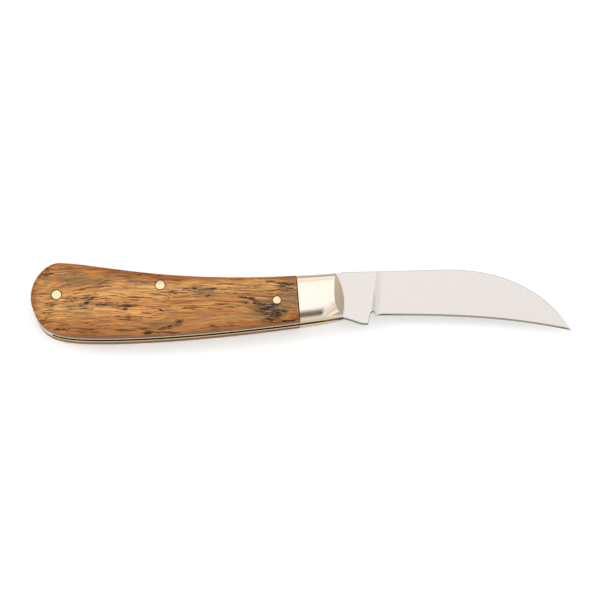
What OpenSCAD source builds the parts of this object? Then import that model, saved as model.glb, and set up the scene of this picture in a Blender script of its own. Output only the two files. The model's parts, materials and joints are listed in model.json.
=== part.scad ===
// Folding whittling knife with a slip joint and a pruner-shaped blade.
// Every plan outline is drawn from the pivot: X runs to the blade tip, Y to the back of the knife
// and Z from the middle of the blade slot to the right-hand side. seat() then moves the knife so
// that it lies on its left-hand scale, with the origin under the middle of its length and height.

/* [Handle] */
// Thickness of one liner
liner_t = 1.0; // [0.8:0.1:1.2]
// Thickness of one scale or bolster at its crown
scale_t = 4.3; // [3.8:0.1:4.8]
// Radius of the crown that runs along the handle
crown_r = 60; // [50:5:90]
// Width of the flat that is ground along the crown
crown_flat_w = 6.4; // [5:0.2:8]
// Distance from the pivot back to the joint between bolster and wood
bolster_l = 7.9; // [7:0.1:9]
// Lean of that joint towards the blade
bolster_lean = 4.3; // [2:0.1:6]
// Distance from the pivot forward to the start of the bolster's bevel
bevel_x = 4.5; // [3.6:0.1:5.2]
// Slope of that bevel
bevel_slope = 45; // [42:1:50]

/* [Blade] */
// Thickness of the blade at the tang
blade_t = 2.5; // [2.2:0.1:2.8]
// Thickness left along the cutting edge
edge_t = 0.4; // [0.3:0.1:0.6]
// Radius of the wheel that leaves the plunge line
plunge_r = 2.0; // [1.5:0.1:2.5]
// Lean of the plunge line
plunge_lean = 3.5; // [2:0.5:6]
// Turn of the blade from open to closed
fold_deg = 178; // [177.5:0.5:178]
// Length of the nail nick
nick_l = 15; // [12:1:16]
// Depth of the nail nick
nick_deep = 0.5; // [0.3:0.1:0.6]

/* [Lock] */
// Distance from the pivot to the flats of the tang
flat_d = 5.5; // [5.4:0.05:5.6]
// Reach of each flat behind the pivot
flat_l = 2.2; // [1.8:0.1:2.4]
// Distance from the pivot forward to the stop of the tang
stop_x = 3.0; // [2.6:0.1:3.2]
// Gap between the stop and the end of the spring
stop_gap = 0.03; // [0.02:0.01:0.05]

/* [Pins] */
// Radius of the pivot pin
pivot_r = 2.0; // [1.6:0.1:2.2]
// Clearance of the tang around the pivot pin
pivot_gap = 0.04; // [0.02:0.01:0.08]
// Radius of the pins through the wood
pin_r = 1.25; // [1:0.05:1.4]
// Radius of the heads of the two long pins
head_r = 1.8; // [1.6:0.1:2]
// Radius of the heads of the front rivets
rivet_head_r = 1.5; // [1.4:0.1:1.8]
// Depth of all these heads
head_t = 0.9; // [0.6:0.1:1.2]
// Radius of the rivets that hold a bolster on its liner
bolster_rivet_r = 0.8; // [0.6:0.1:1]

/* [Fits] */
// Clearance on each side of the blade in its slot
slot_gap = 0.05; // [0.03:0.01:0.08]

/* [Hidden] */
$fn = 96;
steps = 12;                                   // straight steps in one curve of an outline
far = 300;                                    // larger than the knife

slot_half = blade_t / 2 + slot_gap;           // middle of the slot to a liner
liner_top = slot_half + liner_t;
crown_top = liner_top + scale_t;              // middle of the slot to the flat of the crown
crown_mid_y = 1.2;                            // line that the crown follows along the handle
crown_rise = crown_r - sqrt(pow(crown_r, 2) - pow(crown_flat_w / 2, 2));

back_start = [4.9, 10.5];                     // top corner of the bolster's front end
belly_end = [7.25, -4.75];                    // bottom corner of that end
butt_top = [-92.4, 14.1];
butt_end = [-101.1, -2.9];
belly_low = [-77, -12.8];
nose_c = [-10, 0.3];                          // centre of the bolster's rounded front end
nose_r = 18;

blade_tip = [88, -9.15];
spine_mid = [44.9, 12.7];
spine_start = [8.1, 11.8];
tang_back = [stop_x, 10.3];
edge_start = [19.35, -3.7];
notch_c = [18.25, -3.4];
notch_r = 1.1;
kick_low = [15.9, -6.88];
kick_front = [16.55, -6.5];
kick_back = [8, -4.8];

butt_pin_at = [-92.9, 2.15];
spring_pin_at = [-56.6, 5.75];
front_pin_at = [-15.6, 0.25];
bolster_rivets_at = [[-4.6, 6.2], [-4.2, -3.8]];

plunge_x = 18.5;                              // plunge line at the height of the spine
spine_y = 12.75;                              // highest point of the spine
spine_cut = 0.1;                              // depth of the grind at the spine, at the plunge line
nick_at = [31, 9.4];
nick_tilt = 40;
nick_face = 1;                                // middle of the blade to its ground face at the nick
nick_wheel_t = 3;
head_lap = 0.2;                               // extra depth of a head's seat, for the fall of the crown

cam_r = norm([flat_d, flat_l]);               // radius of the tang between its two flats
pin_cover = 0.5;                              // metal left over the blind ends of the pivot pin
rivet_cover = 1.6;                            // metal left over the blind ends of the rivets

// ---- curves ----

// A point at t on the Bezier curve through the control points p.
function curve_at(p, t) = len(p) == 1 ? p[0] :
    curve_at([for (i = [0 : len(p) - 2]) p[i] * (1 - t) + p[i + 1] * t], t);

// The curve without its last point, so that curves join end to end.
function curve(p, n = steps) = [for (i = [0 : n - 1]) curve_at(p, i / n)];

// An arc about c from angle a0 to angle a1.
function arc(c, r, a0, a1, n = steps) =
    [for (i = [0 : n]) let (a = a0 + (a1 - a0) * i / n) c + r * [cos(a), sin(a)]];

// The direction of point p as seen from c.
function bearing(c, p) = atan2(p[1] - c[1], p[0] - c[0]);

// Point p of the closed blade, as it lies on the open one.
function unfold(p) = [p[0] * cos(fold_deg) - p[1] * sin(fold_deg),
                      p[0] * sin(fold_deg) + p[1] * cos(fold_deg)];

// ---- plan outlines ----

butt_curve = curve([butt_top, [-97.7, 14.1], [-104.5, 5.6], butt_end]);
knife_left = min([for (p = butt_curve) p[0]]);

module handle_outline() {
    polygon(concat(
        curve([back_start, [-14, 8.8], [-33, 8.2], [-57, 7.6], [-80.5, 14.1], butt_top], 2 * steps),
        butt_curve,
        curve([butt_end, [-97.9, -11], [-93.8, -12.8], belly_low]),
        curve([belly_low, [-55, -12.8], [-20, -9.2], belly_end]),
        arc(nose_c, nose_r, bearing(nose_c, belly_end), bearing(nose_c, back_start))));
}

// Everything in front of the joint between bolster and wood.
module bolster_zone() {
    translate([-bolster_l, 0]) rotate(bolster_lean) translate([0, -far / 2]) square([far, far]);
}

module bolster_outline() {
    intersection() { handle_outline(); bolster_zone(); }
}

module scale_outline() {
    difference() { handle_outline(); bolster_zone(); }
}

// The tang's flat for the closed knife faces the spring after the blade has turned by fold_deg.
module blade_outline() {
    closed_front = unfold([-flat_l, flat_d]);
    closed_rear = unfold([flat_l, flat_d]);
    open_rear = [-flat_l, flat_d];
    origin = [0, 0];
    polygon(concat(
        [[stop_x, flat_d]],
        curve([tang_back, [5, 10.5], [6, 11.7], spine_start], 6),
        curve([spine_start, [20, 12], [40, 12.7], spine_mid]),
        curve([spine_mid, [57.8, 12.7], [76.4, 9.55], blade_tip], 2 * steps),
        curve([blade_tip, [68, -5], [52, -3.55], edge_start], 2 * steps),
        arc(notch_c, notch_r, 0, 180),
        curve([kick_front, [16.5, -6.8], [16.3, -6.9], kick_low], 4),
        curve([kick_low, [13.2, -6.95], [12.6, -5.9], kick_back]),
        [kick_back, closed_front],
        arc(origin, cam_r, 360 + bearing(origin, closed_rear), bearing(origin, open_rear), 16)));
}

// Room for the tang and the folded blade. The spring is what the handle's outline keeps above it
// and behind it.
module blade_room() {
    polygon([[far, flat_d], [-4.6, flat_d], [-8.2, 6.4], [-20, 6.4], [-34, 5.2], [-50, 3.5],
             [-63, 3.4], [-74, 4.8], [-82, 6.4], [-88.5, 7.6], [-90.3, 6], [-90.6, -1],
             [-94.6, -8.6], [-94.6, -far], [far, -far]]);
}

module spring_outline() {
    difference() {
        handle_outline();
        blade_room();
        translate([stop_x - stop_gap, 0]) square([far, far]);
    }
}

// ---- solids, centred on the slot ----

// Moves the knife so that it lies on its left-hand scale, centred on the origin.
module seat() {
    translate([-(blade_tip[0] + knife_left) / 2, -(butt_top[1] + belly_low[1]) / 2, crown_top]) children();
}

// A copy for the right-hand side, or for the left-hand side when side is -1.
module on_side(side) {
    seat() mirror([0, 0, side > 0 ? 0 : 1]) children();
}

// The handle's upper surface: a large round along the handle with a flat ground on it.
module crown() {
    intersection() {
        translate([-far / 2, crown_mid_y, crown_top + crown_rise - crown_r])
            rotate([0, 90, 0]) cylinder(r = crown_r, h = far, $fn = 240);
        translate([-far / 2, -far / 2, liner_top]) cube([far, far, scale_t]);
    }
}

module upright(at, r, z0, z1) {
    translate([at[0], at[1], z0]) cylinder(r = r, h = z1 - z0);
}

// A shank with a countersunk head, finished flush with the wood.
module headed_pin(at, r, z0) {
    upright(at, pin_r, z0, crown_top - head_t);
    intersection() {
        upright(at, r, crown_top - head_t - head_lap, crown_top);
        crown();
    }
}

module head_seat(at, r) {
    upright(at, r, crown_top - head_t - head_lap, crown_top + 1);
    upright(at, pin_r, 0, crown_top);
}

// ---- sub-parts ----

// One side of the grind: a wedge with a round front that sweeps up into the flat of the tang.
// It also leans along the blade, so that the lower tip keeps the thickness of the edge.
module grind() {
    spine_half = blade_t / 2 - spine_cut;
    lean = atan((spine_half - edge_t / 2) / (spine_y - edge_start[1]));
    tip_loss = (spine_y - blade_tip[1]) * tan(lean) - (spine_half - edge_t / 2);
    rise = atan(tip_loss / (blade_tip[0] - plunge_x));
    translate([plunge_x, spine_y, spine_half]) rotate([lean, -rise, 0]) rotate(-plunge_lean)
        translate([0, -far / 2, 0]) {
            translate([plunge_r, 0, 0]) cube([far, far, far]);
            translate([plunge_r, 0, plunge_r]) rotate([-90, 0, 0]) cylinder(r = plunge_r, h = far);
            translate([0, 0, plunge_r]) cube([far, far, far]);
        }
}

// The nail nick is cut by a thin wheel that leans away from the spine, so that its steep wall is
// on the spine's side.
module nail_nick() {
    reach = nick_deep / cos(nick_tilt);
    wheel_r = (pow(nick_l / 2, 2) + pow(reach, 2)) / (2 * reach);
    translate([nick_at[0], nick_at[1], nick_deep - nick_face]) mirror([0, 1, 0])
        rotate([90 - nick_tilt, 0, 0]) translate([0, -wheel_r, -nick_wheel_t])
            cylinder(r = wheel_r, h = nick_wheel_t, $fn = 180);
}

module blade() {
    color("gainsboro") seat() difference() {
        translate([0, 0, -blade_t / 2]) linear_extrude(blade_t) blade_outline();
        upright([0, 0], pivot_r + pivot_gap, -blade_t, blade_t);
        grind();
        mirror([0, 0, 1]) grind();
        nail_nick();
    }
}

module back_spring() {
    color("silver") seat() difference() {
        translate([0, 0, -slot_half]) linear_extrude(2 * slot_half) spring_outline();
        for (at = [butt_pin_at, spring_pin_at]) upright(at, pin_r, -blade_t, blade_t);
    }
}

module liner(side) {
    color("darkkhaki") on_side(side) difference() {
        translate([0, 0, slot_half]) linear_extrude(liner_t) handle_outline();
        for (at = [butt_pin_at, spring_pin_at, front_pin_at]) upright(at, pin_r, 0, crown_top);
        upright([0, 0], pivot_r, 0, crown_top);
        for (at = bolster_rivets_at) upright(at, bolster_rivet_r, 0, crown_top);
    }
}

module scale(side) {
    color("peru") on_side(side) difference() {
        intersection() {
            translate([0, 0, liner_top]) linear_extrude(scale_t) scale_outline();
            crown();
        }
        for (at = [butt_pin_at, spring_pin_at]) head_seat(at, head_r);
        head_seat(front_pin_at, rivet_head_r);
    }
}

module bolster(side) {
    color("wheat") on_side(side) difference() {
        intersection() {
            translate([0, 0, liner_top]) linear_extrude(scale_t) bolster_outline();
            crown();
        }
        translate([bevel_x, -far / 2, crown_top]) rotate([0, bevel_slope, 0]) cube([far, far, far]);
        upright([0, 0], pivot_r, 0, crown_top - pin_cover);
        for (at = bolster_rivets_at) upright(at, bolster_rivet_r, 0, crown_top - rivet_cover);
    }
}

module pivot_pin() {
    color("wheat") seat() upright([0, 0], pivot_r, pin_cover - crown_top, crown_top - pin_cover);
}

module through_pin(at) {
    color("gold") seat() {
        headed_pin(at, head_r, 0);
        mirror([0, 0, 1]) headed_pin(at, head_r, 0);
    }
}

module spring_pin() { through_pin(spring_pin_at); }

module butt_pin() { through_pin(butt_pin_at); }

// The blade folds through the place of the front pin, so each side has its own short rivet.
module front_rivet(side) {
    color("gold") on_side(side) headed_pin(front_pin_at, rivet_head_r, slot_half);
}

module bolster_rivets(side) {
    color("wheat") on_side(side)
        for (at = bolster_rivets_at) upright(at, bolster_rivet_r, slot_half, crown_top - rivet_cover);
}

blade();
back_spring();
liner(1);  // liner_right
liner(-1);  // liner_left
bolster(1);  // bolster_right
bolster(-1);  // bolster_left
scale(1);  // scale_right
scale(-1);  // scale_left
pivot_pin();
spring_pin();
butt_pin();
front_rivet(1);  // front_rivet_right
front_rivet(-1);  // front_rivet_left
bolster_rivets(1);  // bolster_rivets_right
bolster_rivets(-1);  // bolster_rivets_left
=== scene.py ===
"""Looks of a folding whittling knife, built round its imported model.

Shapes are drawn in millimetres from the pivot, as in the model's own source: X to the blade's
tip, Y to the back of the knife, Z from the middle of the blade slot to the right-hand side.
"""

import json
import math

import bmesh
import bpy
import numpy as np
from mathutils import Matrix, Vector
from mathutils.bvhtree import BVHTree


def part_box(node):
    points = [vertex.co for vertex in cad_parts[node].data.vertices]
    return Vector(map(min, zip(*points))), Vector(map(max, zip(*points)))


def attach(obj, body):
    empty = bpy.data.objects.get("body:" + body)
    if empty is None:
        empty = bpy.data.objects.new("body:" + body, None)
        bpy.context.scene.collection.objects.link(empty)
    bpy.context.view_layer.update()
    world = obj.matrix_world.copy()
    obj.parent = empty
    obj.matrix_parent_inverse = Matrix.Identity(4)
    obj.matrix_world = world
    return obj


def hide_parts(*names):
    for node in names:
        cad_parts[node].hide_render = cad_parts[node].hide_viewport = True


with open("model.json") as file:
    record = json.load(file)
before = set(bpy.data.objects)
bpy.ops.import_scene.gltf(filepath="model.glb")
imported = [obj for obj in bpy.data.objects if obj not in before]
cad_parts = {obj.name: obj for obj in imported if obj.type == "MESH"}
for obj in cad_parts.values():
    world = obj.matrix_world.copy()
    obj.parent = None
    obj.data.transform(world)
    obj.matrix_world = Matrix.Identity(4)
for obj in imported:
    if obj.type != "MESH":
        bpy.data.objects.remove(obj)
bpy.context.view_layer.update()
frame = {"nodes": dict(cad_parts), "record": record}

MM = 0.001
PIVOT = Vector(frame["record"]["behaviour"]["joints"][0]["pos_m"])


def cad_height(node, corner):
    """Height of a node's lowest (0) or highest (1) corner over the middle of the slot, in mm."""
    return (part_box(node)[corner].z - PIVOT.z) / MM


SLOT_HALF = cad_height("liner_right", 0)
LINER_TOP = cad_height("scale_right", 0)
CROWN_TOP = cad_height("scale_right", 1)
BLADE_HALF = cad_height("blade", 1)

# ---- outlines, with the same control points as the model's ----

BACK = [(4.9, 10.5), (-14, 8.8), (-33, 8.2), (-57, 7.6), (-80.5, 14.1), (-92.4, 14.1)]
BUTT_UPPER = [(-92.4, 14.1), (-97.7, 14.1), (-104.5, 5.6), (-101.1, -2.9)]
BUTT_LOWER = [(-101.1, -2.9), (-97.9, -11), (-93.8, -12.8), (-77, -12.8)]
BELLY = [(-77, -12.8), (-55, -12.8), (-20, -9.2), (7.25, -4.75)]
NOSE_CENTRE, NOSE_R = (-10, 0.3), 18
BOLSTER_L = 7.9  # from the pivot back to the wood
BOLSTER_LEAN = math.radians(4.3)  # of that joint, towards the blade
BEVEL_X = 4.5  # where the bolster's bevel starts
BEVEL_SLOPE = math.tan(math.radians(45))
FAN_X = -89  # from here the lines of the wood's mesh fan out round the butt

TANG_BACK = [(3, 10.3), (5, 10.5), (6, 11.7), (8.1, 11.8)]
SPINE_REAR = [(8.1, 11.8), (20, 12), (40, 12.7), (44.9, 12.7)]
SPINE_FRONT = [(44.9, 12.7), (57.8, 12.7), (76.4, 9.55), (88, -9.15)]
EDGE = [(19.35, -3.7), (52, -3.55), (68, -5), (88, -9.15)]
NOTCH_CENTRE, NOTCH_R = (18.25, -3.4), 1.1
KICK_FRONT = [(16.55, -6.5), (16.5, -6.8), (16.3, -6.9), (15.9, -6.88)]
KICK_LOW = [(15.9, -6.88), (13.2, -6.95), (12.6, -5.9), (8, -4.8)]
FLAT_D, FLAT_L = 5.5, 2.2  # flats of the tang: distance from the pivot, and reach behind it
STOP_X, STOP_GAP = 3.0, 0.03  # step of the tang, and its gap to the end of the spring
FOLD = math.radians(178)  # from open to closed
BORE_R = 2.04  # hole in the tang
# inner edge of the back spring, from the butt to the tang
SPRING_ROOM = [
    (-94.6, -8.6), (-90.6, -1), (-90.3, 6), (-88.5, 7.6), (-82, 6.4), (-74, 4.8), (-63, 3.4),
    (-50, 3.5), (-34, 5.2), (-20, 6.4), (-8.2, 6.4), (-4.6, FLAT_D),
]

BUTT_PIN, SPRING_PIN, FRONT_PIN = (-92.9, 2.15), (-56.6, 5.75), (-15.6, 0.25)
PIN_R, HEAD_R, RIVET_HEAD_R = 1.25, 1.8, 1.5


def bezier(points, n=48):
    """n + 1 points along the Bezier curve through the control points."""
    out = []
    for t in np.linspace(0, 1, n + 1):
        q = np.array(points, float)
        while len(q) > 1:
            q = q[:-1] * (1 - t) + q[1:] * t
        out.append(q[0])
    return np.array(out)


def arc(centre, r, a0, a1, n):
    """n + 1 points round a circle, from angle a0 to a1."""
    a = np.linspace(a0, a1, n + 1)
    return np.column_stack([centre[0] + r * np.cos(a), centre[1] + r * np.sin(a)])


def bearing(centre, p):
    """Angle at which p is seen from the centre."""
    return math.atan2(p[1] - centre[1], p[0] - centre[0])


def joined(*curves):
    """Curves end to end as one line of points, each shared end kept once."""
    out = [curves[0]]
    for c in curves[1:]:
        same = np.linalg.norm(out[-1][-1] - c[0]) < 1e-6
        out.append(c[1:] if same else c)
    return np.concatenate(out)


def y_on(line, x):
    """Height at x of a line that runs along X."""
    order = np.argsort(line[:, 0])
    return np.interp(x, line[order, 0], line[order, 1])


def evenly(line, n):
    """n + 1 points evenly spaced along a line."""
    s = np.concatenate([[0], np.cumsum(np.linalg.norm(np.diff(line, axis=0), axis=1))])
    at = np.linspace(0, s[-1], n + 1)
    return np.column_stack([np.interp(at, s, line[:, 0]), np.interp(at, s, line[:, 1])])


back = bezier(BACK, 160)
butt_upper = bezier(BUTT_UPPER, 60)
butt_lower = bezier(BUTT_LOWER, 60)
belly = bezier(BELLY, 120)
nose = arc(NOSE_CENTRE, NOSE_R, bearing(NOSE_CENTRE, BELLY[-1]), bearing(NOSE_CENTRE, BACK[0]), 40)
lower_line = joined(butt_lower, belly)
spine = joined(bezier(TANG_BACK, 16), bezier(SPINE_REAR), bezier(SPINE_FRONT, 80))
edge = bezier(EDGE, 80)


def joint_x(y):
    """X of the joint between bolster and wood at height y."""
    return -BOLSTER_L - y * math.tan(BOLSTER_LEAN)


def joint_point(line):
    """Where that joint meets an outline."""
    gap = line[:, 0] - joint_x(line[:, 1])
    i = np.where(np.diff(np.sign(gap)) != 0)[0][0]
    t = gap[i] / (gap[i] - gap[i + 1])
    return line[i] * (1 - t) + line[i + 1] * t


# ---- meshes ----

MERGE = 1e-4  # points closer than this, in mm, are one
SMOOTH_DEG = 32  # faces that meet at less than this look like one curved surface
BLADE_SMOOTH_DEG = 20  # the same on the blade
CORNER_CLEAR = 0.07  # points of an outline nearer than this to a corner in it are left out


def new_object(name, bm, body, materials, nodes, smooth_deg=SMOOTH_DEG):
    """Turns a bmesh in mm from the pivot into a piece that stands for CAD nodes."""
    bmesh.ops.remove_doubles(bm, verts=bm.verts, dist=MERGE)
    bmesh.ops.dissolve_degenerate(bm, edges=bm.edges, dist=MERGE / 10)
    bmesh.ops.recalc_face_normals(bm, faces=bm.faces)
    for e in bm.edges:
        flat = len(e.link_faces) == 2 and e.calc_face_angle(0) < math.radians(smooth_deg)
        e.smooth = flat and e.smooth
    for f in bm.faces:
        f.smooth = True
    for v in bm.verts:
        v.co = PIVOT + v.co * MM
    mesh = bpy.data.meshes.new(name)
    bm.to_mesh(mesh)
    bm.free()
    o = bpy.data.objects.new(name, mesh)
    bpy.context.collection.objects.link(o)
    for m in materials:
        mesh.materials.append(m)
    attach(o, body)
    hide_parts(*nodes)
    return o


def grid(bm, rows):
    """Faces between rows of 3-D points. Points that coincide are merged later."""
    made = [[bm.verts.new(p) for p in row] for row in rows]
    faces = []
    for r0, r1 in zip(made, made[1:]):
        for k in range(len(r0) - 1):
            faces.append(bm.faces.new((r0[k], r0[k + 1], r1[k + 1], r1[k])))
    return made, faces


def on_level(v, z):
    """True for a vertex at height z."""
    return abs(v.co.z - z) < MERGE


def close_down(bm, z):
    """Walls from the free edges of a sheet down to z, and a floor there."""
    free = [e for e in bm.edges if len(e.link_faces) == 1]
    lower = bmesh.ops.extrude_edge_only(bm, edges=free)["geom"]
    rim = [v for v in lower if isinstance(v, bmesh.types.BMVert)]
    for v in rim:
        v.co.z = z
    bottom = [e for e in lower if isinstance(e, bmesh.types.BMEdge)]
    bmesh.ops.contextual_create(bm, geom=[e for e in bottom if all(on_level(v, z) for v in e.verts)])


def flip_side(bm):
    """Turns a piece of the right-hand side into its mirror image on the left."""
    for v in bm.verts:
        v.co.z = -v.co.z
    bmesh.ops.reverse_faces(bm, faces=bm.faces)


def prism(outline, z0, z1, soft):
    """A flat plate with this outline, its edges softened by soft mm."""
    bm = bmesh.new()
    face = bm.faces.new([bm.verts.new((x, y, z1)) for x, y in outline])
    made = bmesh.ops.extrude_face_region(bm, geom=[face])["geom"]
    for v in made:
        if isinstance(v, bmesh.types.BMVert):
            v.co.z = z0
    bmesh.ops.recalc_face_normals(bm, faces=bm.faces)
    rims = [e for e in bm.edges if on_level(e.verts[0], e.verts[1].co.z)]
    bmesh.ops.bevel(bm, geom=rims, offset=soft, segments=2, profile=0.5, affect="EDGES")
    return bm


# ---- the handle ----

PIN_PROUD = 0.06  # the pins' heads stand this far out of the crown
WOOD_TOP = CROWN_TOP - PIN_PROUD
ROUND_STEPS = 6  # steps of the mesh over the rounding beside a wall
CROWN_STEPS = 16  # and from there to the ridge
RAY_STEPS = ROUND_STEPS + CROWN_STEPS


class Flank:
    """How the crown of the handle falls from its ridge to one side wall."""

    def __init__(self, drop, power, radius):
        self.drop = drop  # fall from the ridge to the wall, in mm
        self.power = power  # the higher, the flatter the middle
        self.radius = radius  # rounding where the crown meets the wall

    def steps(self, width):
        """Distances from the wall: close together over the rounding, then wider and wider."""
        near = self.radius * (1 - np.cos(np.linspace(0, math.pi / 2, ROUND_STEPS + 1)))
        far = self.radius + (width - self.radius) * np.linspace(0, 1, CROWN_STEPS + 1)[1:] ** 1.2
        return np.concatenate([near, far])

    def z(self, d, width):
        """Height at a distance d from the wall, where the ridge is width away."""
        z = WOOD_TOP - self.drop * (1 - min(d / width, 1)) ** self.power
        if d < self.radius:
            z -= self.radius - math.sqrt(self.radius**2 - (self.radius - d) ** 2)
        return z


def blend(a, b, t):
    """The flank part of the way t from a to b."""

    def between(p, q):
        return p + (q - p) * t

    return Flank(between(a.drop, b.drop), between(a.power, b.power), between(a.radius, b.radius))


def smooth(t):
    """Runs from 0 to 1 without a corner at either end."""
    t = min(max(t, 0), 1)
    return t * t * (3 - 2 * t)


BACK_FLANK = Flank(1.0, 4.5, 0.6)
BUTT_BELLY = Flank(0.6, 2.6, 0.35)
JOINT_BELLY = Flank(1.1, 2.6, 0.35)
NOSE_BELLY = Flank(3.2, 2.4, 0.35)
BELLY_FALLS_FROM = -45  # the belly's edge is rounder from here to the bolster
NOSE_FALLS_FROM, NOSE_FALLS_OVER = 0.5, 0.6  # and rounder still over this part of the bolster
NOSE_RIDGE = 0.58  # the ridge's place between belly and back at the nose


def ray(edge_point, middle, flank):
    """A line of points on the crown from the side wall to the ridge."""
    p, q = np.array(edge_point), np.array(middle)
    w = np.linalg.norm(q - p)
    return [(*(p + (q - p) * d / w), flank.z(d, w)) for d in flank.steps(w)]


WOOD_GAP = 0.14  # hairline between the wood and the bolster
SCALE_COLUMNS = 84
FAN_RAYS = 56


def scale_sheet():
    """The crown of one wood scale, as rays from its outline to its middle line."""
    low0, high0 = joint_point(lower_line), joint_point(back)
    low_x = np.linspace(low0[0] - WOOD_GAP, FAN_X, SCALE_COLUMNS + 1)
    high_x = np.linspace(high0[0] - WOOD_GAP, FAN_X, SCALE_COLUMNS + 1)
    low = np.column_stack([low_x, y_on(lower_line, low_x)])
    high = np.column_stack([high_x, y_on(back, high_x)])
    middle = (low + high) / 2
    hub = middle[-1]
    around = joined(
        low[-1:], butt_lower[butt_lower[:, 0] < FAN_X][::-1], butt_upper[::-1],
        back[back[:, 0] < FAN_X][::-1], high[-1:],
    )
    fan = evenly(around, FAN_RAYS)
    rays = []
    for p, q in zip(low, middle):
        t = smooth((p[0] - BELLY_FALLS_FROM) / (low0[0] - BELLY_FALLS_FROM))
        rays.append(ray(p, q, blend(BUTT_BELLY, JOINT_BELLY, t)))
    for i, p in enumerate(fan[1:-1], 1):
        rays.append(ray(p, hub, blend(BUTT_BELLY, BACK_FLANK, smooth(i / FAN_RAYS))))
    rays += [ray(p, q, BACK_FLANK) for p, q in zip(high[::-1], middle[::-1])]
    return rays


def make_scale(side, material):
    """A wood scale: its crown, the walls round it and the flat on the liner."""
    bm = bmesh.new()
    grid(bm, scale_sheet())
    bmesh.ops.remove_doubles(bm, verts=bm.verts, dist=MERGE)
    close_down(bm, LINER_TOP)
    if side == "left":
        flip_side(bm)
    return new_object(f"wood_scale_{side}", bm, "handle", [material], [f"scale_{side}"])


BOLSTER_COLUMNS, BEVEL_COLUMNS = 21, 8
BEVEL_BAND = 0.01  # a vertex at most this far under the bevel is on it


def bevel_z(x):
    """Height of the bevel ground across the bolster's front end."""
    return WOOD_TOP - (x - BEVEL_X) * BEVEL_SLOPE


def bolster_point(u, k):
    """A point of the crown: u runs from the wood joint to the front, k counts from belly to back."""
    low0, high0 = joint_point(lower_line), joint_point(back)
    low1, high1 = np.array(BELLY[-1]), np.array(BACK[0])
    lx = low0[0] + (low1[0] - low0[0]) * u
    hx = high0[0] + (high1[0] - high0[0]) * u
    low, high = np.array([lx, y_on(lower_line, lx)]), np.array([hx, y_on(back, hx)])
    width = np.linalg.norm(high - low)
    ridge = 0.5 + (NOSE_RIDGE - 0.5) * u
    if k <= RAY_STEPS:
        belly_flank = blend(JOINT_BELLY, NOSE_BELLY, smooth((u - NOSE_FALLS_FROM) / NOSE_FALLS_OVER))
        reach = width * ridge
        d = belly_flank.steps(reach)[k]
        z = belly_flank.z(d, reach)
        v = d / width
    else:
        reach = width * (1 - ridge)
        d = BACK_FLANK.steps(reach)[2 * RAY_STEPS - k]
        z = BACK_FLANK.z(d, reach)
        v = 1 - d / width
    x, y = low * (1 - v) + high * v
    bulge = NOSE_CENTRE[0] + math.sqrt(NOSE_R**2 - (y - NOSE_CENTRE[1]) ** 2)
    chord = low1[0] + (high1[0] - low1[0]) * (y - low1[1]) / (high1[1] - low1[1])
    return x + u * u * (bulge - chord), y, z


def crease(k):
    """How far along line k the crown meets the bevel, or 1 if they don't meet."""

    def over_bevel(u):
        x, _, z = bolster_point(u, k)
        return z - bevel_z(x)

    if over_bevel(1) <= 0:
        return 1.0
    lo, hi = 0.0, 1.0
    for _ in range(40):
        mid = (lo + hi) / 2
        if over_bevel(mid) < 0:
            lo = mid
        else:
            hi = mid
    return (lo + hi) / 2


def bolster_sheet():
    """The crown and the bevel of one bolster, as lines from the wood joint to the rounded front."""
    lines = []
    for k in range(2 * RAY_STEPS + 1):
        meets = crease(k)
        line = [bolster_point(u, k) for u in np.linspace(0, meets, BOLSTER_COLUMNS + 1)]
        for u in np.linspace(meets, 1, BEVEL_COLUMNS + 1)[1:]:
            x, y, z = bolster_point(u, k)
            line.append((x, y, min(z, bevel_z(x))))
        lines.append(line)
    return lines


def make_bolster(side, polished, brushed):
    """The crown is polished. The bevel and the side walls are brushed, and painted darker as shade."""
    bm = bmesh.new()
    verts, faces = grid(bm, bolster_sheet())
    for r0, r1 in zip(verts, verts[1:]):
        bm.edges.get((r0[BOLSTER_COLUMNS], r1[BOLSTER_COLUMNS])).smooth = False
    for f in faces:
        on_bevel = all(v.co.z > bevel_z(v.co.x) - BEVEL_BAND for v in f.verts)
        f.material_index = 1 if on_bevel and f.calc_center_median().x > BEVEL_X else 0
    bmesh.ops.remove_doubles(bm, verts=bm.verts, dist=MERGE)
    close_down(bm, LINER_TOP)
    for f in bm.faces:
        low_corners = sum(on_level(v, LINER_TOP) for v in f.verts)
        if 0 < low_corners < len(f.verts):
            f.material_index = 1
    if side == "left":
        flip_side(bm)
    materials, nodes = [polished, brushed], [f"bolster_{side}"]
    return new_object(f"front_bolster_{side}", bm, "handle", materials, nodes)


LINER_SOFT, SPRING_SOFT = 0.04, 0.05  # softening of their edges


def make_liner(side, material, slot_shade_material):
    """The face towards the slot has its own material, painted near black as the shade inside the slot."""
    bm = prism(joined(back, butt_upper, butt_lower, belly, nose)[:-1], SLOT_HALF, LINER_TOP, LINER_SOFT)
    for f in bm.faces:
        f.material_index = 1 if all(on_level(v, SLOT_HALF) for v in f.verts) else 0
    if side == "left":
        flip_side(bm)
    materials = [material, slot_shade_material]
    return new_object(f"brass_liner_{side}", bm, "handle", materials, [f"liner_{side}"])


def make_spring(material):
    """The back spring: the handle's back edge and butt, and the room it leaves for the blade."""
    front_x = STOP_X - STOP_GAP
    foot_x = SPRING_ROOM[0][0]
    outline = joined(
        np.array([[front_x, y_on(back, front_x)]]),
        back[back[:, 0] < front_x - CORNER_CLEAR],
        butt_upper,
        butt_lower[butt_lower[:, 0] < foot_x],
        np.array([[foot_x, y_on(lower_line, foot_x)]]),
        np.array(SPRING_ROOM + [(front_x, FLAT_D)], float),
    )
    bm = prism(outline, -SLOT_HALF, SLOT_HALF, SPRING_SOFT)
    return new_object("steel_back_spring", bm, "handle", [material], ["back_spring"])


# ---- the blade ----

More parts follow.
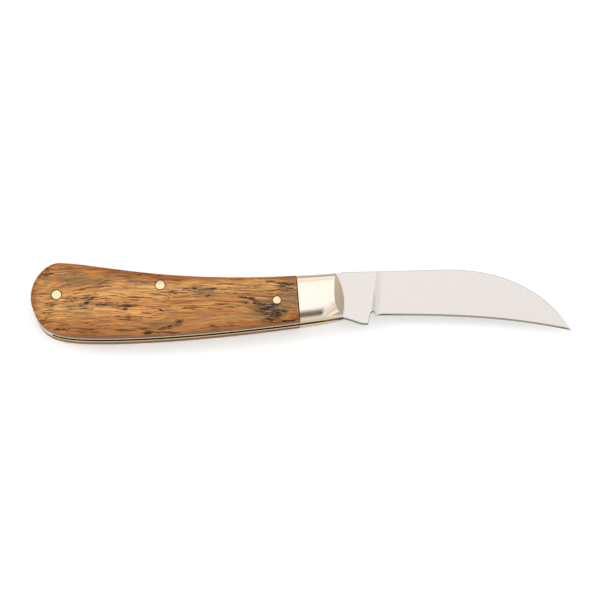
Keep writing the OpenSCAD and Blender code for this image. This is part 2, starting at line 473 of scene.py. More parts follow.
PLUNGE_X = 19.6  # where the grind leaves the tang, at the height SPINE_Y
PLUNGE_LEAN = math.tan(math.radians(7.4))
PLUNGE_L = 3.0  # length of the sweep from the tang into the ground face
SPINE_Y = 12.75  # highest point of the spine
SPINE_DIP = 0.9  # the spine is about this much lower at the plunge line
SPINE_HALF = BLADE_HALF - 0.13  # half the thickness of the ground face at the spine
SHOULDER_HALF = 0.14  # and at both ends of the cutting edge
GRIND = (SPINE_HALF - SHOULDER_HALF) / (SPINE_Y - EDGE[0][1])
TAPER = ((SPINE_Y - EDGE[-1][1]) * GRIND - (SPINE_HALF - SHOULDER_HALF)) / (EDGE[-1][0] - PLUNGE_X)
BEVEL_W, BLUNT_W = 0.65, 0.04  # width of the cutting edge's bevel, and of what is left of it at the notch
BEVEL_SHARE = 0.45  # and near the tip at most this share of the blade's width
SHARPENS_OVER = 1.5  # distance from the notch over which that bevel widens
APEX_HALF = 0.02  # half the thickness of the cutting edge
TINY = 1e-6

SWEEP_COLUMNS, FACE_COLUMNS, FACE_ROWS = 16, 72, 26
SWEEP_AT_FOOT, SWEEP_AT_TOP = 0.6, 1.05  # reach of the sweep's columns, as shares of PLUNGE_L
NOTCH_TOP = math.pi / 2 + 0.35  # angle on the notch's circle where the tang meets the ground face
EASE = 0.14  # rounding of the blade's blunt edges
EASED_FROM, EASED_TO = 2.6, 84  # only between these places, clear of the flats and the tip
BORE_MARGIN = 3  # and only this far from the pivot
SPINE_BAND = 0.3  # an edge this near the outline's back is on the spine
BACK_Y = 9  # the tang's back lies higher than this
EDGE_WALL_X = EDGE[0][0] - 0.05  # in front of this lie only the walls of the cutting edge and the spine
SLOT_MOUTH_Y = -4.7  # between the bolsters, the tang's lower edge lies under this

# the last three of these are steel painted darker as shade, near black in the slot
SATIN, HONED_SHADED, WALL_SHADE, SLOT_SHADE = range(4)  # the blade's materials


def plunge_start(y):
    """X of the line where the grind leaves the flat of the tang."""
    return PLUNGE_X - (SPINE_Y - y) * PLUNGE_LEAN


def plunge_top():
    """Where that line meets the spine."""
    y = y_on(spine, plunge_start(SPINE_Y - SPINE_DIP))
    return np.array([plunge_start(y), y])


def ground_half(x, y):
    """Half the blade's thickness: the flat ground face, and the sweep that leads into it."""
    plane = SPINE_HALF - (SPINE_Y - y) * GRIND + max(x - PLUNGE_X, 0) * TAPER
    left = 1 - min(max((x - plunge_start(y)) / PLUNGE_L, 0), 1)
    return plane + (BLADE_HALF - plane) * left**2


def column_ends():
    """The foot and the top of each column of the face: close together in the sweep, then even."""
    notch = arc(NOTCH_CENTRE, NOTCH_R, NOTCH_TOP, 0, 12)
    near_edge = edge[edge[:, 0] < EDGE[0][0] + SWEEP_AT_FOOT * PLUNGE_L]
    near_feet = evenly(joined(notch, near_edge), SWEEP_COLUMNS)
    u = np.linspace(0, 1, FACE_COLUMNS + 1)[1:]
    far_x = near_feet[-1][0] + (EDGE[-1][0] - near_feet[-1][0]) * u
    feet = np.concatenate([near_feet, np.column_stack([far_x, y_on(edge, far_x)])])
    near_x = plunge_top()[0] + SWEEP_AT_TOP * PLUNGE_L * np.linspace(0, 1, SWEEP_COLUMNS + 1)
    top_x = np.concatenate([near_x, near_x[-1] + (EDGE[-1][0] - near_x[-1]) * u])
    return feet, np.column_stack([top_x, y_on(spine, top_x)])


def face_columns():
    """The ground face of one side, as columns of points from the cutting edge to the spine."""
    feet, tops = column_ends()
    columns = []
    for j, (foot, top) in enumerate(zip(feet, tops)):
        width = np.linalg.norm(top - foot)
        sharp = np.clip((foot[0] - EDGE[0][0]) / SHARPENS_OVER, 0, 1)
        bevel = min(BLUNT_W + (BEVEL_W - BLUNT_W) * sharp, BEVEL_SHARE * width + TINY)
        rows = np.concatenate([[0], np.linspace(bevel / max(width, TINY), 1, FACE_ROWS)])
        column = []
        for k, t in enumerate(rows):
            p = foot + (top - foot) * t
            if j < SWEEP_COLUMNS:
                line_x, line_y = feet[0] + (tops[0] - feet[0]) * t
                p[0] += (plunge_start(line_y) - line_x) * (1 - j / SWEEP_COLUMNS)
            half = ground_half(*p)
            if k == 0:
                half = APEX_HALF * sharp + half * (1 - sharp)
            if j == 0:
                half = BLADE_HALF
            column.append((*p, half))
        columns.append(column)
    return columns


def turned(angle, x, y):
    """A point turned about the pivot."""
    return np.array([math.cos(angle) * x - math.sin(angle) * y, math.sin(angle) * x + math.cos(angle) * y])


def tang_outline():
    """From the notch round the kick, the two flats and the step, then along the back to the grind."""
    pivot, flat_end = (0, 0), (-FLAT_L, FLAT_D)
    closed_end, closed_start = (turned(FOLD, x, FLAT_D) for x in (-FLAT_L, FLAT_L))
    start_angle = 2 * math.pi + bearing(pivot, closed_start)
    return joined(
        arc(NOTCH_CENTRE, NOTCH_R, NOTCH_TOP, math.pi, 9)[1:],
        bezier(KICK_FRONT, 8),
        bezier(KICK_LOW, 20),
        np.array([closed_end]),
        arc(pivot, math.hypot(*flat_end), start_angle, bearing(pivot, flat_end), 28),
        np.array([[STOP_X, FLAT_D]]),
        spine[spine[:, 0] < plunge_top()[0] - CORNER_CLEAR],
    )


def ring_edges(bm, verts):
    """The edges round a closed ring of vertices, made where they aren't there yet."""
    return [bm.edges.get(pair) or bm.edges.new(pair) for pair in zip(verts, verts[1:] + verts[:1])]


def blade_side(bm):
    """One side of the blade and its tang, as an open sheet."""
    columns = face_columns()
    made, _ = grid(bm, columns)
    for column, c0, c1 in zip(columns, made, made[1:]):
        bm.edges.get((c0[1], c1[1])).smooth = False
        if column[0][0] > EDGE[0][0]:
            # the cutting edge's bevel: honed steel painted darker as shade
            bm.edges.get((c0[0], c1[0])).link_faces[0].material_index = HONED_SHADED
    plunge = made[0]
    for v0, v1 in zip(plunge, plunge[1:]):
        bm.edges.get((v0, v1)).smooth = False
    tang = [bm.verts.new((*p, BLADE_HALF)) for p in tang_outline()]
    bore = [bm.verts.new((*p, BLADE_HALF)) for p in arc((0, 0), BORE_R, 0, 2 * math.pi, 48)[:-1]]
    outer = ring_edges(bm, [plunge[0], *tang, *plunge[:0:-1]])
    bmesh.ops.triangle_fill(bm, use_beauty=True, edges=outer + ring_edges(bm, bore))


def in_slot(p):
    """True on the tang's lower edge between the bolsters."""
    return p.x < BELLY[-1][0] and p.y < SLOT_MOUTH_Y


def wall_material(p):
    """Walls, painted darker as shade: honed on the back and cutting edge, near black in the slot, else
    dark.
    """
    if p.y > BACK_Y or p.x > EDGE_WALL_X:
        return HONED_SHADED
    return SLOT_SHADE if in_slot(p) else WALL_SHADE


def eased(skin_edge):
    """The spine and the tang are eased. The cutting edge, its notch, the tip and the bore stay sharp."""
    x, y, _ = (skin_edge.verts[0].co + skin_edge.verts[1].co) / 2
    if x < NOTCH_CENTRE[0] - NOTCH_R:
        return x > EASED_FROM and math.hypot(x, y) > BORE_MARGIN
    return x < EASED_TO and y > y_on(spine, x) - SPINE_BAND


def make_blade(*materials):
    """Both sides with walls between them. The materials: satin, then honed, wall and slot steels painted
    darker as shade.
    """
    bm = bmesh.new()
    blade_side(bm)
    verts = list(bm.verts)
    rim = [e for e in bm.edges if len(e.link_faces) == 1]
    skin = verts + list(bm.edges) + list(bm.faces)
    other = bmesh.ops.duplicate(bm, geom=skin)["vert_map"]
    for v in verts:
        other[v].co.z = -v.co.z
    for e in rim:
        a, b = e.verts
        wall = bm.faces.new((a, b, other[b], other[a]))
        wall.material_index = wall_material((a.co + b.co) / 2)
    bmesh.ops.recalc_face_normals(bm, faces=bm.faces)
    mirrored = [bm.edges.get([other[v] for v in e.verts]) for e in rim]
    blunt = [e for e in rim + mirrored if eased(e)]
    made = bmesh.ops.bevel(bm, geom=blunt, offset=EASE, segments=2, profile=0.5, affect="EDGES")
    for f in made["faces"]:
        # eased edges: honed steel painted darker as shade, and near black as painted shade in the slot
        f.material_index = SLOT_SHADE if in_slot(f.calc_center_median()) else HONED_SHADED
    o = new_object("pruner_blade", bm, "blade", materials, ["blade"], BLADE_SMOOTH_DEG)
    cut_nick(o)
    return o


NICK_AT = (31, 9.4)
NICK_L, NICK_DEEP = 15, 0.5
NICK_TILT = math.radians(40)  # lean of the wheel that cuts it
NICK_FACE = 1.0  # middle of the blade to its ground face there
WHEEL_T = 3


def cut_nick(blade):
    """The nail nick on the left-hand face, cut by a thin leaning wheel."""
    reach = NICK_DEEP / math.cos(NICK_TILT)
    r = ((NICK_L / 2) ** 2 + reach**2) / (2 * reach)
    bm = bmesh.new()
    bmesh.ops.create_cone(bm, cap_ends=True, segments=360, radius1=r, radius2=r, depth=WHEEL_T)
    turn = math.pi / 2 - NICK_TILT
    for v in bm.verts:
        x, y, z = v.co.x, v.co.y - r, v.co.z - WHEEL_T / 2
        y, z = y * math.cos(turn) - z * math.sin(turn), y * math.sin(turn) + z * math.cos(turn)
        v.co = PIVOT + Vector((NICK_AT[0] + x, NICK_AT[1] - y, NICK_DEEP - NICK_FACE + z)) * MM
    bmesh.ops.reverse_faces(bm, faces=bm.faces)
    mesh = bpy.data.meshes.new("nick_wheel")
    bm.to_mesh(mesh)
    bm.free()
    wheel = bpy.data.objects.new("nick_wheel", mesh)
    bpy.context.collection.objects.link(wheel)
    cut = blade.modifiers.new("nick", "BOOLEAN")
    cut.operation, cut.object, cut.solver = "DIFFERENCE", wheel, "EXACT"
    bpy.context.view_layer.update()
    done = bpy.data.meshes.new_from_object(blade.evaluated_get(bpy.context.evaluated_depsgraph_get()))
    blade.modifiers.remove(cut)
    blade.data = done
    bpy.data.objects.remove(wheel)


# ---- pins ----

PIN_SPOKES = 40
HEAD_DEEP = 1.4  # depth of a head under the flat of the crown
# from the middle of a head outwards: share of its radius, and height as a share of PIN_PROUD
DOME = [(0, 1), (0.25, 0.97), (0.5, 0.85), (0.72, 0.6), (0.88, 0.2), (0.96, -0.4), (1, -1.5)]


def wood_z(crown, x, y):
    """Height of the right-hand scale's crown at a point, in mm."""
    over = PIVOT + Vector((x, y, CROWN_TOP + 5)) * MM
    hit = crown.ray_cast(over, Vector((0, 0, -1)))[0]
    return (hit.z - PIVOT.z) / MM


def make_pin(name, at, head_r, crown, material, node, through=False, left=False):
    """A round pin whose slightly domed head follows the wood."""

    def out(turn, r):
        return at[0] + r * math.cos(turn), at[1] + r * math.sin(turn)

    bm = bmesh.new()
    rows = []
    for i in range(PIN_SPOKES + 1):
        turn = 2 * math.pi * i / PIN_SPOKES
        half = []
        for share, rise in DOME:
            x, y = out(turn, head_r * share)
            half.append((x, y, wood_z(crown, x, y) + PIN_PROUD * rise))
        half += [(*out(turn, r), CROWN_TOP - HEAD_DEEP) for r in (head_r, PIN_R)]
        if through:
            rows.append(half + [(x, y, -z) for x, y, z in reversed(half)])
        else:
            rows.append(half + [(*out(turn, PIN_R), SLOT_HALF), (*at, SLOT_HALF)])
    grid(bm, rows)
    if left:
        flip_side(bm)
    return new_object(name, bm, "handle", [material], [node])


# ---- materials ----


def set_stops(ramp, stops):
    """Fills a colour ramp with (place, grey level or colour) pairs."""
    while len(ramp.elements) < len(stops):
        ramp.elements.new(0.5)
    for element, (place, colour) in zip(ramp.elements, stops):
        element.position = place
        element.color = (*colour, 1) if isinstance(colour, tuple) else (colour, colour, colour, 1)


def is_socket(value):
    """True for a node's socket, and false for a constant."""
    return hasattr(value, "is_output")


class Graph:
    """A small helper that builds one node material."""

    def __init__(self, name):
        self.material = bpy.data.materials.new(name)
        self.material.use_nodes = True
        self.nodes = self.material.node_tree.nodes
        self.links = self.material.node_tree.links
        self.nodes.clear()
        out = self.nodes.new("ShaderNodeOutputMaterial")
        self.shader = self.nodes.new("ShaderNodeBsdfPrincipled")
        self.links.new(self.shader.outputs[0], out.inputs["Surface"])
        coord = self.nodes.new("ShaderNodeTexCoord")
        self.position = coord.outputs["Object"]

    def link(self, value, socket):
        """Joins a node's output to a socket, or sets the socket to a constant."""
        if is_socket(value):
            self.links.new(value, socket)
        else:
            socket.default_value = value

    def set(self, **sockets):
        """Sets the shader's sockets, named with _ for a space."""
        for name, value in sockets.items():
            self.link(value, self.shader.inputs[name.replace("_", " ")])

    def mapping(self, vector, scale, offset=(0, 0, 0)):
        """A place in metres turned into cells, with scale cells to the mm, and then shifted."""
        node = self.nodes.new("ShaderNodeMapping")
        node.inputs["Location"].default_value = offset
        node.inputs["Scale"].default_value = [s / MM for s in scale]
        self.links.new(vector, node.inputs["Vector"])
        return node.outputs[0]

    def noise(self, cells, detail=3.0, rough=0.5):
        node = self.nodes.new("ShaderNodeTexNoise")
        node.inputs["Scale"].default_value = 1.0
        node.inputs["Detail"].default_value = detail
        node.inputs["Roughness"].default_value = rough
        self.links.new(cells, node.inputs["Vector"])
        return node.outputs[0]

    def ramp(self, value, stops):
        node = self.nodes.new("ShaderNodeValToRGB")
        set_stops(node.color_ramp, stops)
        self.link(value, node.inputs[0])
        return node.outputs[0]

    def mix(self, amount, a, b, kind="MIX"):
        node = self.nodes.new("ShaderNodeMix")
        node.data_type, node.blend_type = "RGBA", kind
        self.link(amount, node.inputs[0])
        for colour, socket in ((a, node.inputs[6]), (b, node.inputs[7])):
            self.link(colour if is_socket(colour) else (*colour, 1), socket)
        return node.outputs[2]

    def math(self, kind, a, b=0.0, c=0.0, clamp=False):
        node = self.nodes.new("ShaderNodeMath")
        node.operation, node.use_clamp = kind, clamp
        for value, socket in zip((a, b, c), node.inputs):
            self.link(value, socket)
        return node.outputs[0]

    def bump(self, height, depth):
        """Relief up to depth mm high."""
        node = self.nodes.new("ShaderNodeBump")
        node.inputs["Strength"].default_value = 1.0
        node.inputs["Distance"].default_value = depth * MM
        self.links.new(height, node.inputs["Height"])
        self.links.new(node.outputs[0], self.shader.inputs["Normal"])

    def warped(self, reach, scale, offset):
        """Object coordinates pushed about by up to reach mm, so that the grain wanders."""
        push = self.nodes.new("ShaderNodeTexNoise")
        push.inputs["Scale"].default_value = 1.0
        self.links.new(self.mapping(self.position, scale, offset), push.inputs["Vector"])
        add = self.nodes.new("ShaderNodeVectorMath")
        add.operation = "MULTIPLY_ADD"
        self.links.new(push.outputs["Color"], add.inputs[0])
        add.inputs[1].default_value = [r * MM for r in reach]
        self.links.new(self.position, add.inputs[2])
        return add.outputs[0]

    def along_axis(self, axis):
        """Distance from the pivot along one axis, in metres."""
        split = self.nodes.new("ShaderNodeSeparateXYZ")
        self.links.new(self.position, split.inputs[0])
        return self.math("SUBTRACT", split.outputs[axis], PIVOT[axis])

    def patch(self, x, y, rx, ry, lean=0.0):
        """1 in the middle of a soft ellipse (mm from the pivot), 0 outside it."""
        node = self.nodes.new("ShaderNodeMapping")
        node.vector_type = "TEXTURE"
        node.inputs["Location"].default_value = [PIVOT.x + x * MM, PIVOT.y + y * MM, 0]
        node.inputs["Rotation"].default_value = [0, 0, math.radians(lean)]
        node.inputs["Scale"].default_value = [rx * MM, ry * MM, 1]
        self.links.new(self.position, node.inputs["Vector"])
        length = self.nodes.new("ShaderNodeVectorMath")
        length.operation = "LENGTH"
        self.links.new(node.outputs[0], length.inputs[0])
        return self.math("SUBTRACT", 1.0, length.outputs[1], clamp=True)

    def patches(self, marks):
        """The strongest of several patches at each point."""
        total = None
        for *ellipse, strength in marks:
            one = self.math("MULTIPLY", self.patch(*ellipse), strength)
            total = one if total is None else self.math("MAXIMUM", total, one)
        return total


# Dark mineral streaks in the oak: middle (mm from the pivot), half length, half height, lean in
# degrees, strength. On the right they are where the knife has them. The left ones are invented.
STREAKS_RIGHT = [
    (-88.4, 0.9, 3.6, 0.5, 0, 1.2), (-88.5, -0.2, 3.0, 0.5, 0, 1.1), (-82.2, 0.8, 3.0, 0.9, 0, 1.2),
    (-82.2, -0.8, 1.5, 0.6, 10, 1.8), (-84.0, -1.6, 1.3, 0.7, 8, 1.7), (-76.5, -1.4, 3.2, 0.8, 0, 1.1),
    (-82.1, -2.9, 2.8, 0.5, 0, 1.1), (-96.4, 9.8, 3.8, 0.5, 3, 0.9),
    (-67.8, -2.0, 1.7, 0.8, 0, 1.6), (-68.8, -3.0, 1.3, 0.6, 0, 1.3), (-55.9, -3.5, 1.5, 0.6, -5, 1.4),
    (-61.0, -11.6, 2.2, 0.7, 3, 1.4), (-90.5, -10.4, 5.0, 0.6, -3, 1.3),
    (-53.0, -9.4, 5.0, 0.8, 12, 1.25), (-49.8, -7.5, 2.4, 1.1, 15, 1.2),
    (-39.9, 1.8, 1.3, 0.6, 12, 1.6), (-44.5, 4.6, 1.2, 0.5, 0, 1.3), (-37.6, 4.2, 1.5, 0.6, 0, 1.3),
    (-17.6, 7.0, 3.0, 0.5, 0, 1.5), (-12.5, 6.2, 5.0, 0.8, -4, 1.7), (-14.3, 5.2, 2.6, 0.5, 0, 1.4),
    (-11.4, 4.5, 2.2, 0.45, 0, 1.4), (-27.6, 1.1, 1.8, 0.6, 0, 1.6), (-24.3, 0.6, 2.3, 0.8, 0, 1.7),
    (-26.0, -0.8, 1.5, 0.5, 0, 1.3), (-22.0, -0.8, 3.4, 1.0, -10, 1.3), (-18.2, -2.4, 4.4, 1.3, 14, 1.7),
    (-21.6, -3.9, 2.0, 0.5, 5, 1.3), (-19.4, -4.7, 2.2, 0.7, 0, 1.6), (-15.9, -4.8, 2.8, 2.0, 20, 1.9),
    (-13.3, -3.9, 2.4, 0.8, 0, 1.6), (-18.0, -6.6, 4.0, 1.2, 5, 1.2), (-12.8, -7.2, 5.6, 0.5, 8, 1.4),
]
# weathered grey areas, in the same terms
GREY_RIGHT = [
    (-87.5, 8.4, 7.5, 4.2, 0, 1.0), (-96.7, 8.6, 4.0, 1.2, 0, 0.9), (-76.5, 6.8, 6.0, 1.8, 0, 0.7),
    (-64.0, 6.6, 7.0, 1.5, 0, 0.8), (-41.0, 3.4, 7.0, 2.6, -8, 0.9), (-86.0, -2.4, 8.0, 1.6, 0, 0.8),
    (-57.0, -8.8, 8.0, 2.6, 12, 0.5), (-17.0, -3.0, 10.0, 5.5, 15, 1.2), (-11.0, 2.0, 6.0, 9.0, 0, 1.1),
    (-25.0, 5.5, 8.0, 2.0, 0, 0.5),
]
STREAKS_LEFT = [
    (-20.0, 3.5, 5.0, 0.8, 6, 1.6), (-26.0, -2.5, 4.5, 1.0, -8, 1.5), (-13.0, -3.0, 3.0, 1.5, 10, 1.6),
    (-33.0, 4.8, 3.0, 0.6, 0, 1.3), (-48.0, -5.5, 5.0, 0.8, -6, 1.3), (-63.0, 2.0, 4.0, 0.7, 4, 1.4),
    (-71.0, -6.0, 3.5, 0.6, 0, 1.3), (-84.0, 6.0, 4.5, 1.0, -4, 1.5), (-90.0, -4.0, 3.0, 0.8, 8, 1.4),
]
GREY_LEFT = [
    (-20.0, -1.0, 10.0, 5.0, -10, 0.8), (-45.0, 4.0, 8.0, 2.0, 5, 0.6), (-84.0, 5.0, 9.0, 4.0, 0, 0.9),
    (-66.0, -6.0, 9.0, 2.5, 0, 0.6),
]


def along_grain(g, offset):
    """Noise for one scale, drawn out along its grain."""
    grain = g.warped((0, 5, 5), (0.03, 0.06, 0.06), offset)

    def along(x, across, detail=3.0, rough=0.5):
        """x and across are cells per mm."""
        return g.noise(g.mapping(grain, (x, across, across), offset), detail, rough)

    return along


def heartwood(g, along, fibres):
    """Tones in broad bands, then narrower bands, single fibres and partly drawn growth lines."""
    colour = g.ramp(along(0.010, 0.20, 2), [
        (0.36, (0.500, 0.200, 0.060)), (0.50, (0.615, 0.283, 0.087)), (0.62, (0.720, 0.363, 0.124)),
    ])
    bands = along(0.020, 0.85, 3, 0.6)
    colour = g.mix(1.0, colour, g.ramp(bands, [(0.38, 0.81), (0.60, 1.08)]), "MULTIPLY")
    colour = g.mix(1.0, colour, g.ramp(fibres, [(0.36, 0.52), (0.60, 1.22)]), "MULTIPLY")
    rings = g.math("PINGPONG", g.math("MULTIPLY", along(0.012, 0.42, 1), 2.8), 0.5)
    lines = g.ramp(rings, [(0.0, 1.0), (0.12, 0.0)])
    partly = g.ramp(along(0.05, 0.6, 2), [(0.46, 0.05), (0.54, 1.0)])
    return g.mix(g.math("MULTIPLY", lines, partly), colour, (0.150, 0.036, 0.010))


def open_pores(g, along):
    """Short dashes, thicker in some places."""
    dashes = g.ramp(along(0.15, 2.7, 2, 0.6), [(0.54, 0.0), (0.585, 1.0)])
    where = g.ramp(along(0.05, 0.30, 2), [(0.42, 0.3), (0.56, 0.9)])
    return g.math("MULTIPLY", dashes, where)


def weathered(g, along, colour, greys):
    """A grey cast with dark speckle."""
    speckle = g.ramp(along(0.42, 2.8, 3, 0.75), [(0.48, 0.0), (0.55, 1.0)])
    smoky = g.ramp(g.patches(greys), [(0.05, 0.0), (0.6, 0.65)])
    colour = g.mix(smoky, colour, (0.66, 0.74, 0.84), "MULTIPLY")
    return g.mix(g.math("MULTIPLY", smoky, speckle), colour, (0.150, 0.100, 0.060))


def streaked(g, along, colour, streaks):
    """Black strands in a brown halo. Returns the colour, and where the strands are."""
    marks = g.patches(streaks)
    strands = g.math("MULTIPLY", g.math("SUBTRACT", along(0.40, 3.2, 3, 0.65), 0.5), 15.0)
    black = g.ramp(g.math("ADD", marks, strands), [(0.55, 0.0), (0.85, 1.0)])
    black = g.math("MULTIPLY", black, g.ramp(marks, [(0.04, 0.0), (0.3, 1.0)]))
    colour = g.mix(g.ramp(marks, [(0.0, 0.0), (0.9, 0.28)]), colour, (0.090, 0.055, 0.032))
    return g.mix(black, colour, (0.026, 0.019, 0.014)), black


SEAM_DARK, SEAM_GONE = 0.08, 0.32  # distances from a pin's head, in mm


def seams(g):
    """Near 1 in the hairline where the wood meets the bolster and round each pin."""
    # 0.5 of this ramp is the joint itself
    joint = g.math("MULTIPLY_ADD", g.along_axis(1), math.tan(BOLSTER_LEAN), g.along_axis(0))
    total = g.ramp(g.math("DIVIDE", joint, -2 * BOLSTER_L * MM), [(0.52, 0.9), (0.53, 0.0)])
    for (x, y), r in ((BUTT_PIN, HEAD_R), (SPRING_PIN, HEAD_R), (FRONT_PIN, RIVET_HEAD_R)):
        disc = g.patch(x, y, 2 * r, 2 * r)
        ring = g.ramp(disc, [(0.5 - SEAM_GONE / (2 * r), 0.0), (0.5 - SEAM_DARK / (2 * r), 0.75)])
        total = g.math("MAXIMUM", total, ring)
    return total


HEIGHT_UNIT = 7.0  # in mm, a little over the height of the crown


def painted_shade_and_seams(g, colour):
    """Deeper colour over the rounded edges, partly the wood's tone and partly painted shade, a side wall
    painted dark as shade, and dark seams at the metal.
    """
    height = g.math("DIVIDE", g.math("ABSOLUTE", g.along_axis(2)), MM)
    height = g.math("DIVIDE", height, HEIGHT_UNIT)
    # painted shade, partly the wood's own deeper tone: darker over the rounded edges
    edges = g.ramp(height, [(0.80, 1.0), (0.905, 0.0)])
    colour = g.mix(edges, colour, (0.66, 0.42, 0.19), "MULTIPLY")
    # painted shade: the side wall darker and duller
    wall = g.ramp(height, [(0.70, 0.70), (0.75, 0.0)])
    colour = g.mix(wall, colour, (0.075, 0.050, 0.028))
    return g.mix(seams(g), colour, (0.045, 0.022, 0.010))


def wood(name, offset, streaks, greys):
    """Oiled oak whose grain runs along the handle."""
    g = Graph(name)
    along = along_grain(g, offset)
    fibres = along(0.085, 2.6, 5, 0.72)
    pores = open_pores(g, along)
    colour = g.mix(pores, heartwood(g, along, fibres), (0.095, 0.032, 0.011))
    colour = weathered(g, along, colour, greys)
    colour, black = streaked(g, along, colour, streaks)
    g.set(Base_Color=painted_shade_and_seams(g, colour), Roughness=g.ramp(fibres, [(0.3, 0.50), (0.7, 0.38)]))
    g.set(Specular_IOR_Level=0.22)
    sunk = g.math("ADD", g.math("MULTIPLY", pores, 0.7), g.math("MULTIPLY", black, 0.4))
    g.bump(g.math("SUBTRACT", g.math("MULTIPLY", fibres, 0.5), sunk), 0.06)
    return g.material


def metal(name, colour, rough, brush=(8.0, 0.3, 8.0), depth=0.01, spread=0.06):
    """Metal with brush lines, in cells per mm, that are depth mm deep and spread its roughness."""
    g = Graph(name)
    lines = g.noise(g.mapping(g.position, brush), detail=4, rough=0.65)
    g.set(Base_Color=(*colour, 1), Metallic=1.0)
    g.set(Roughness=g.ramp(lines, [(0.3, rough - spread), (0.7, rough + spread)]))
    g.bump(lines, depth)
    return g.material


wood_right = wood("oak_right", (0, 0, 0), STREAKS_RIGHT, GREY_RIGHT)
wood_left = wood("oak_left", (40, 30, 20), STREAKS_LEFT, GREY_LEFT)
nickel = metal("polished_nickel_silver", (0.73, 0.625, 0.545), 0.13, (0.4, 6, 6), 0.0015, 0.03)
# brushed nickel silver, darker than the polished crown: painted shade on the bevel and the side walls
nickel_brushed_shaded = metal("brushed_nickel_silver_painted_shade", (0.56, 0.46, 0.33), 0.30, (6, 0.25, 6), 0.02)
brass = metal("brass", (0.80, 0.58, 0.26), 0.28)
# near-black brass: painted shade on the liners' faces inside the slot
brass_slot_shade = metal("brass_painted_slot_shade", (0.05, 0.032, 0.014), 0.55, (1, 1, 1), 0.004)
pin_brass = metal("polished_brass", (0.68, 0.56, 0.35), 0.24, (3, 3, 3), 0.004)
satin_steel = metal("satin_steel", (0.570, 0.535, 0.510), 0.25, (5, 0.06, 5), 0.0016, 0.03)
# the honed edges and spine, the blade's walls and the tang in the slot: steel painted darker as shade,
# near black in the slot
honed_steel_painted_shade = metal("honed_steel_painted_shade", (0.34, 0.318, 0.30), 0.2, (0.5, 9, 9), 0.002, 0.03)
steel_painted_wall_shade = metal("steel_painted_wall_shade", (0.17, 0.16, 0.155), 0.45, (2, 2, 6), 0.01)
steel_painted_slot_shade = metal("steel_painted_slot_shade", (0.035, 0.026, 0.018), 0.5, (2, 2, 6), 0.01)
spring_steel = metal("spring_steel", (0.52, 0.51, 0.49), 0.25, (0.3, 6, 6), 0.006)

# ---- the pieces ----

scales = {side: make_scale(side, m) for side, m in (("right", wood_right), ("left", wood_left))}
for side in ("right", "left"):
    make_bolster(side, nickel, nickel_brushed_shaded)
    make_liner(side, brass, brass_slot_shade)
make_spring(spring_steel)
make_blade(satin_steel, honed_steel_painted_shade, steel_painted_wall_shade, steel_painted_slot_shade)

crown_mesh = bmesh.new()
crown_mesh.from_mesh(scales["right"].data)
crown = BVHTree.FromBMesh(crown_mesh)
crown_mesh.free()
make_pin("butt_pin_heads", BUTT_PIN, HEAD_R, crown, pin_brass, "butt_pin", through=True)
make_pin("spring_pin_heads", SPRING_PIN, HEAD_R, crown, pin_brass, "spring_pin", through=True)
for side in ("right", "left"):
    name, node = f"front_rivet_head_{side}", f"front_rivet_{side}"
    make_pin(name, FRONT_PIN, RIVET_HEAD_R, crown, pin_brass, node, left=side == "left")

for name in ("pivot_pin", "bolster_rivets_right", "bolster_rivets_left"):
    frame["nodes"][name].data.materials.clear()
    frame["nodes"][name].data.materials.append(nickel)

# ---- floor, light and camera ----

CEILING = 1.6  # height of the light panels over the floor, in metres
FLOOR_R = 4  # in metres


def panel(name, y_degrees, x_degrees, radiance, colour=(1, 1, 1)):
    """A flat lamp on the ceiling, between angles off the vertical towards +Y and +X."""
    (x0, x1), (y0, y1) = (
        [CEILING * math.tan(math.radians(a)) for a in span] for span in (x_degrees, y_degrees)
    )
    data = bpy.data.lights.new(name, "AREA")
    data.shape, data.size, data.size_y = "RECTANGLE", x1 - x0, y1 - y0
    data.energy = radiance * math.pi * data.size * data.size_y
    data.color = colour
    o = bpy.data.objects.new(name, data)
    bpy.context.collection.objects.link(o)
    o.location = ((x0 + x1) / 2, (y0 + y1) / 2, CEILING)


def make_floor():
    """A pale floor, faintly lit from within so that the shadows stay soft."""
    bm = bmesh.new()
    bmesh.ops.create_circle(bm, cap_ends=True, segments=64, radius=FLOOR_R)
    mesh = bpy.data.meshes.new("floor")
    bm.to_mesh(mesh)
    bm.free()
    floor = bpy.data.objects.new("floor", mesh)
    bpy.context.collection.objects.link(floor)
    g = Graph("pale_floor")
    g.set(Base_Color=(0.885, 0.9, 0.915, 1), Roughness=0.9, Specular_IOR_Level=0.1)
    g.set(Emission_Color=(0.92, 0.96, 1, 1), Emission_Strength=0.275)
    mesh.materials.append(g.material)


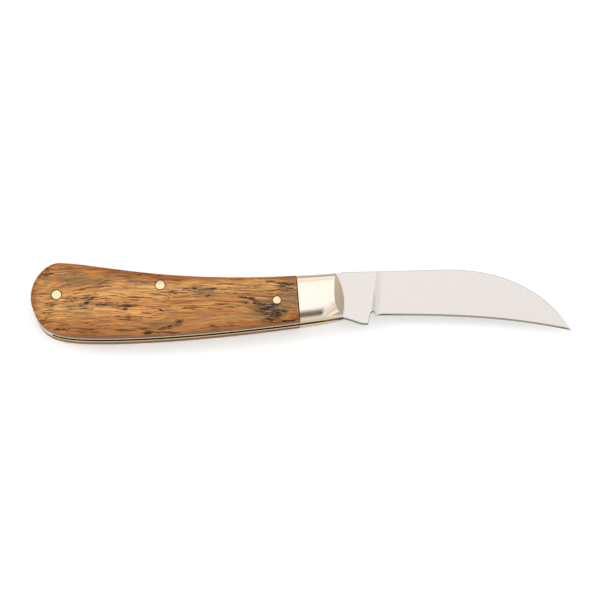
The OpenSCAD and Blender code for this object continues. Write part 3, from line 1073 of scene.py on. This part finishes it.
def light_panels():
    """Soft boxes overhead, a key light to the left, and warm panels that the metal reflects."""
    panel("overhead_softbox", (-3, 28), (-40, 12), 1.4)
    panel("softbox_wing", (-3, 28), (12, 42), 1.16)
    panel("softbox_edge", (-3, 44), (42, 72), 0.45)
    panel("softbox_skirt", (-7, -3), (-40, 9), 0.55)
    panel("key_light", (4, 26), (-60, -40), 7.0)
    panel("back_panel", (28, 48), (-14, 14), 1.1, (1, 0.94, 0.8))
    panel("front_panel", (-50, -17), (-40, 12.5), 0.84, (1, 0.95, 0.8))
    panel("side_panel", (-10, -3), (9, 60), 1.35)
    panel("side_panel_low", (-24, -10), (12.5, 60), 1.0, (1, 0.97, 0.9))
    panel("corner_panel", (-50, -24), (12.5, 60), 0.75, (1, 0.95, 0.8))


def surroundings():
    """A studio that is bright at the horizon and darker overhead, where the panels hang."""
    world = bpy.data.worlds.new("studio")
    world.use_nodes = True
    nodes, links = world.node_tree.nodes, world.node_tree.links
    split = nodes.new("ShaderNodeSeparateXYZ")
    links.new(nodes.new("ShaderNodeTexCoord").outputs["Generated"], split.inputs[0])
    ramp = nodes.new("ShaderNodeValToRGB")
    set_stops(ramp.color_ramp, [
        (0.0, 0.95), (0.12, 0.85), (0.3, (0.66, 0.66, 0.65)), (0.62, (0.62, 0.62, 0.60)),
        (0.82, (0.17, 0.165, 0.155)),
    ])
    links.new(split.outputs["Z"], ramp.inputs[0])
    links.new(ramp.outputs[0], nodes["Background"].inputs["Color"])
    bpy.context.scene.world = world
    bpy.context.scene.view_settings.view_transform = "Standard"


def camera():
    """The photograph's view, through a long lens."""
    elevation = math.radians(75.3)
    distance = 1.058  # in metres
    target = Vector((-0.0005, 0.0013, 0.0066))
    data = bpy.data.cameras.new("camera")
    data.lens, data.sensor_width = 180, 36
    o = bpy.data.objects.new("camera", data)
    bpy.context.collection.objects.link(o)
    back_off = Vector((0, -math.cos(elevation), math.sin(elevation)))
    o.location = target + back_off * distance
    o.rotation_euler = (-back_off).to_track_quat("-Z", "Y").to_euler()
    bpy.context.scene.camera = o


make_floor()
light_panels()
surroundings()
camera()
